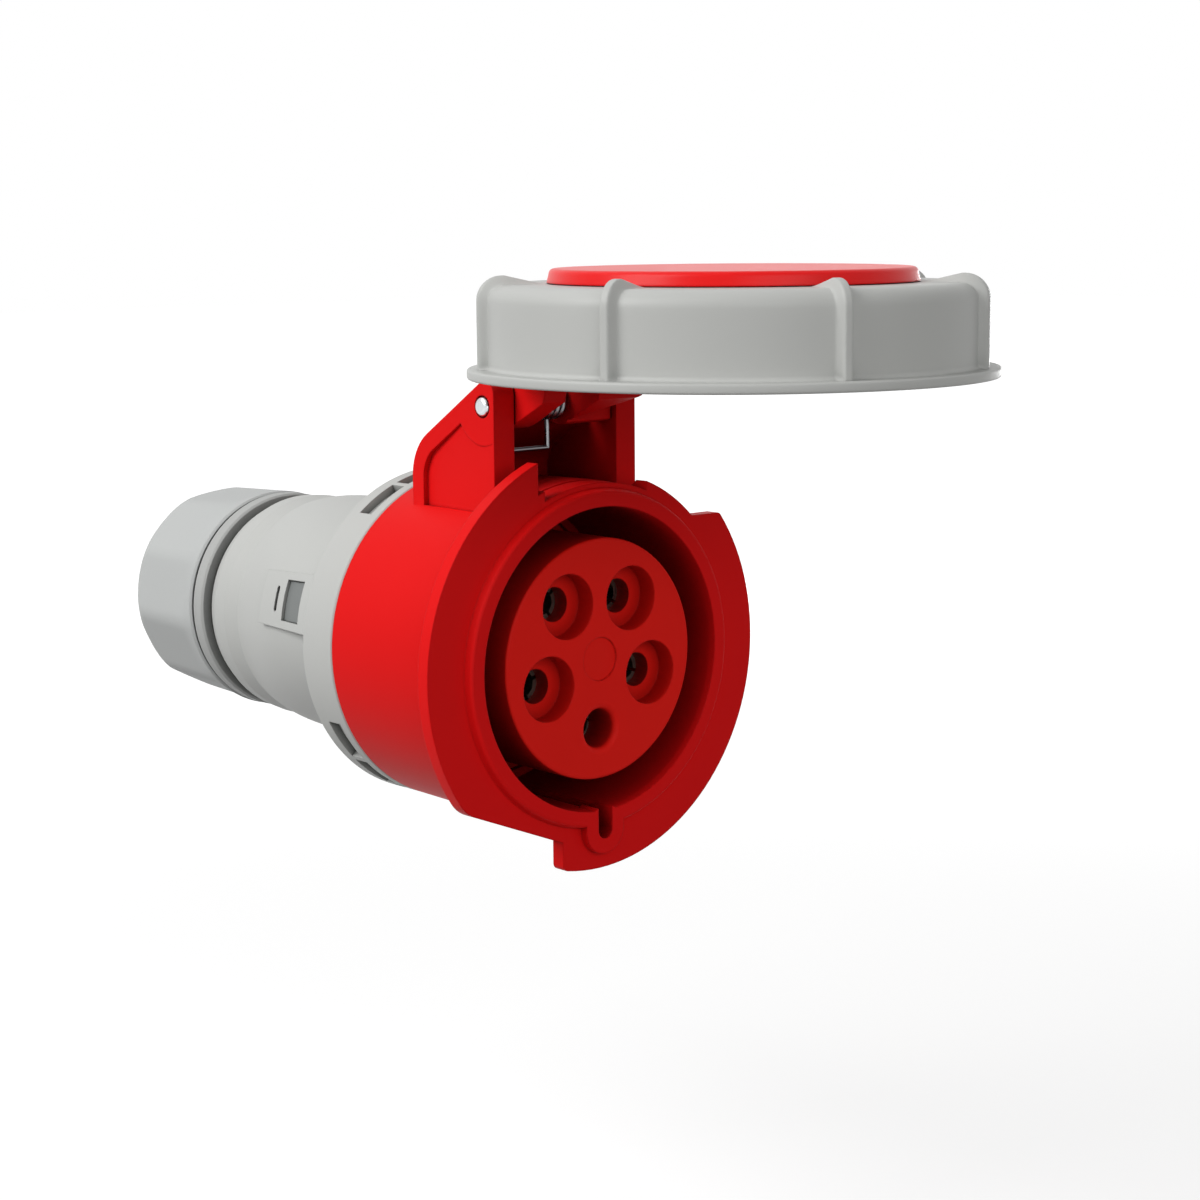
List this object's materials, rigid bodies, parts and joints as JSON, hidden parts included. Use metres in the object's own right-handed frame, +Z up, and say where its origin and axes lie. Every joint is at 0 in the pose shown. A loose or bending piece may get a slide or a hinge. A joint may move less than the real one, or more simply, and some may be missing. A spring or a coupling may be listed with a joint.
{
  "type": "industrial cable connector",
  "caption": "Round industrial cable socket with a sprung hinged lid, a bayonet lock ring on the lid, recessed round contacts and a threaded cable gland.",
  "frame": {"origin": "centre of the insert's front face, on the socket's main axis", "axes": "-Y out of the mating face, +Y along the axis to the cable, +Z up to the lid's hinge, +X to the right as seen from the front; the lid is open by 90 degrees"},
  "size_m": [0.1108, 0.2556, 0.1367],
  "materials": {
    "red_polyamide": "semi-gloss moulded",
    "grey_polyamide": "fine satin moulded",
    "red_insert": "satin moulded",
    "lock_grey": "satin moulded",
    "latch_grey": "satin moulded",
    "nickel_brass": "nickel plated",
    "zinc_steel": "zinc plated",
    "steel_pin": "bright",
    "spring_steel": "drawn wire",
    "seal_rubber": "matt",
    "white_cage": "satin moulded"
  },
  "bodies": {
    "connector": {"front_housing": "red_polyamide", "contact_carrier": "red_insert", "contact_l1": "nickel_brass", "contact_l2": "nickel_brass", "contact_l3": "nickel_brass", "contact_neutral": "nickel_brass", "contact_earth": "nickel_brass", "contact_springs": "spring_steel", "terminal_screws": "zinc_steel", "rear_housing": "grey_polyamide", "housing_latches": "latch_grey", "housing_seal": "seal_rubber", "lock_ring": "lock_grey", "cable_grommet": "seal_rubber", "gland_cage": "white_cage", "hinge_pin": "steel_pin", "hinge_spring": "spring_steel"},
    "lid": {"lid_cap": "red_polyamide", "lid_cover": "red_polyamide", "lid_seal": "seal_rubber"},
    "ring": {"bayonet_ring": "grey_polyamide"},
    "slip_washer": {"gland_washer": "lock_grey"},
    "nut": {"gland_nut": "grey_polyamide"}
  },
  "joints": [
    {"name": "lid_hinge", "type": "hinge", "parent": "connector", "child": "lid", "pos_m": [0, 0.015, 0.0573], "axis": [1, 0, 0], "range_deg": [0, 90]},
    {"name": "ring_turn", "type": "hinge", "parent": "lid", "child": "ring", "pos_m": [0, -0.0423, 0.075], "axis": [0, 0, 1], "range_deg": [-40, 0]},
    {"name": "gland_slide", "type": "slide", "parent": "connector", "child": "slip_washer", "axis": [0, 1, 0], "range_m": [0, 0.003]},
    {"name": "gland_turn", "type": "hinge", "parent": "slip_washer", "child": "nut", "pos_m": [0, 0.142, 0], "axis": [0, 1, 0], "range_deg": [0, 360]}
  ],
  "couplings": [
    {"joint": "gland_slide", "follows": "gland_turn", "m_per_rad": 0.000477}
  ]
}
